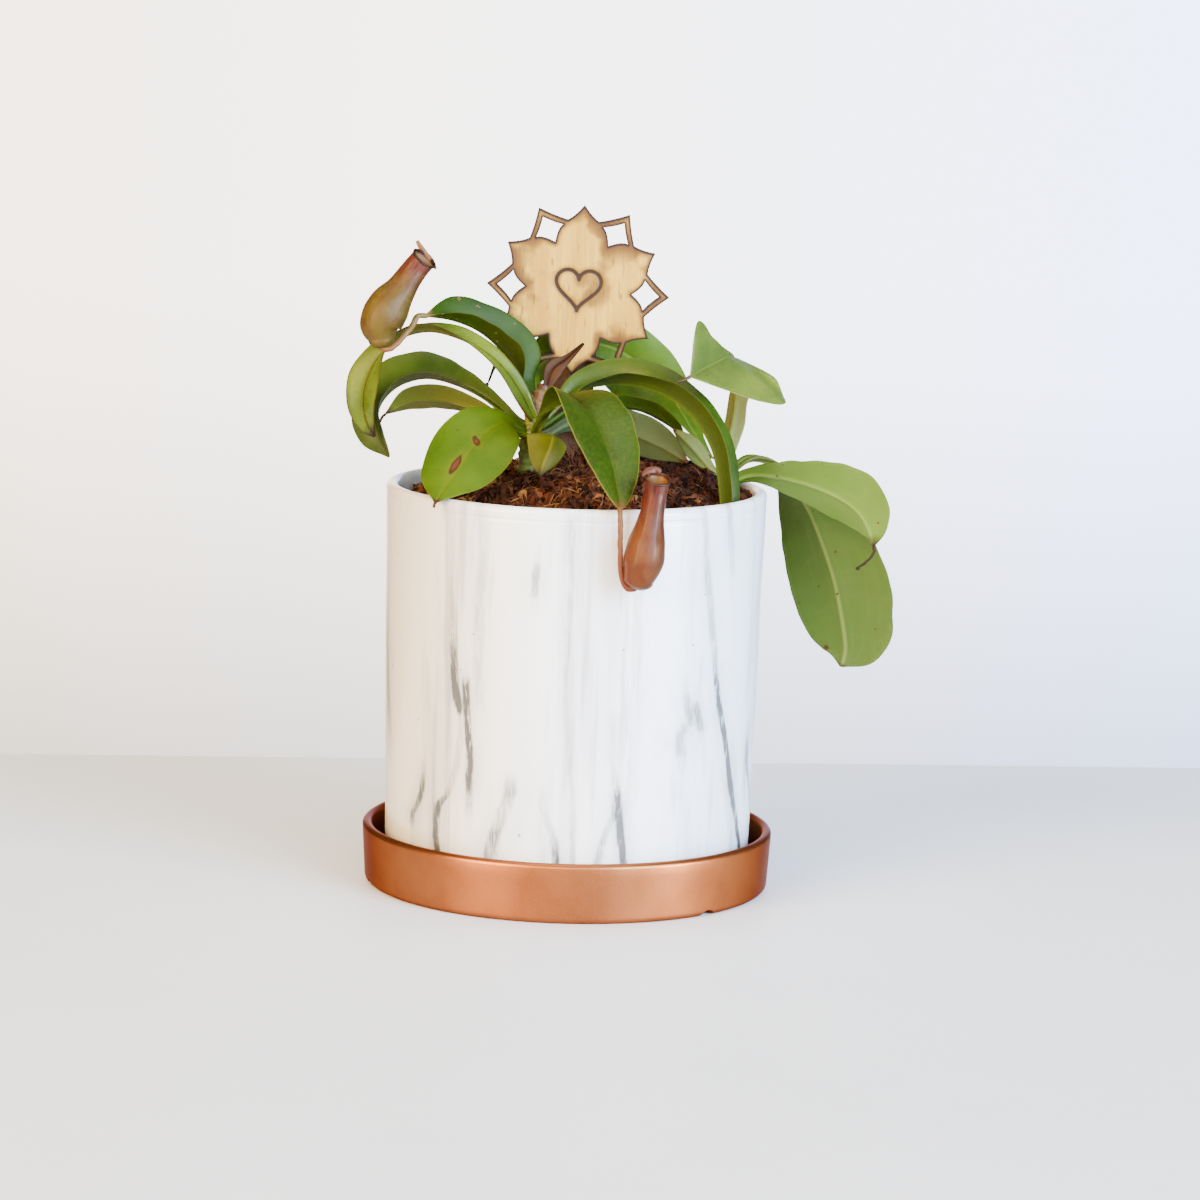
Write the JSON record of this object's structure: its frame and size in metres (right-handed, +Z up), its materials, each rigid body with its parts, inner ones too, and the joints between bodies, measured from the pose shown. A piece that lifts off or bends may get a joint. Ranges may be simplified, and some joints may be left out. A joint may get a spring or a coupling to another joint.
{
  "type": "potted tropical pitcher plant",
  "caption": "Potted tropical pitcher plant: arching strap leaves and hanging pitchers in a marbled glazed pot on a copper-coloured saucer, with a cut-wood flower plaque.",
  "frame": {"origin": "centre of the saucer's underside, on the surface that the plant stands on", "axes": "+Z up; +X to the right and -Y towards the viewer when the plant is seen from its plaque's face"},
  "size_m": [0.1855, 0.1454, 0.2267],
  "materials": {
    "saucer_copper": "satin",
    "pot_marble": "satin",
    "moss": "matte",
    "stem_green": "satin",
    "leaf_green": "satin",
    "leaf_brown": "matte",
    "tendril_red": "satin",
    "pitcher_red": "satin",
    "plaque_wood": "matte",
    "stake_wood": "matte"
  },
  "bodies": {
    "root": {"saucer": "saucer_copper", "pot": "pot_marble", "growing_moss": "moss", "stem_main": "stem_green", "stem_side": "stem_green", "leaf_upper_left": "leaf_green", "leaf_long_left": "leaf_green", "leaf_middle_left": "leaf_green", "leaf_low_left": "leaf_green", "leaf_front_left": "leaf_green", "leaf_front": "leaf_green", "leaf_small_front": "leaf_green", "leaf_big_arch": "leaf_green", "leaf_behind_plaque": "leaf_green", "leaf_back_left": "leaf_green", "leaf_dark_back": "leaf_green", "leaf_pale_under": "leaf_green", "leaf_right_top": "leaf_green", "leaf_right_side": "leaf_green", "leaf_right_hanging": "leaf_green", "leaf_pale_tip": "leaf_green", "leaf_dried": "leaf_brown", "tendril_left": "tendril_red", "tendril_front": "tendril_red", "pitcher_left": "pitcher_red", "pitcher_front": "pitcher_red", "plaque": "plaque_wood", "plaque_stake": "stake_wood"}
  },
  "joints": []
}
